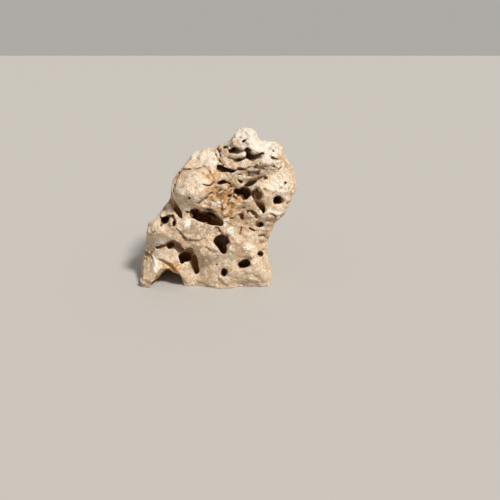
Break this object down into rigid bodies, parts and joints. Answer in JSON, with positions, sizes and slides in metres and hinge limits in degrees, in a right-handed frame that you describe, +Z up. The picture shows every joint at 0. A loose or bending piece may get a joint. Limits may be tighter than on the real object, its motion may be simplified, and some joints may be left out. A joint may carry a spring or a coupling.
{
  "type": "holey rock",
  "caption": "Upright piece of pale limestone bored through with caves, burrows and pits, broken flat underneath so that it stands in an aquarium.",
  "frame": {"origin": "on the floor, under the middle of the rock's box, at the flat break it stands on", "axes": "+Z up, +X towards the overhanging head on the right of its pitted face, +Y through the rock away from that face, which is its thinnest way"},
  "size_m": [0.3374, 0.1864, 0.3186],
  "materials": {
    "stone": "rough, dry and weathered, cream to ochre, dark brown inside the burrows"
  },
  "bodies": {
    "root": {"rock": "stone"}
  },
  "joints": []
}
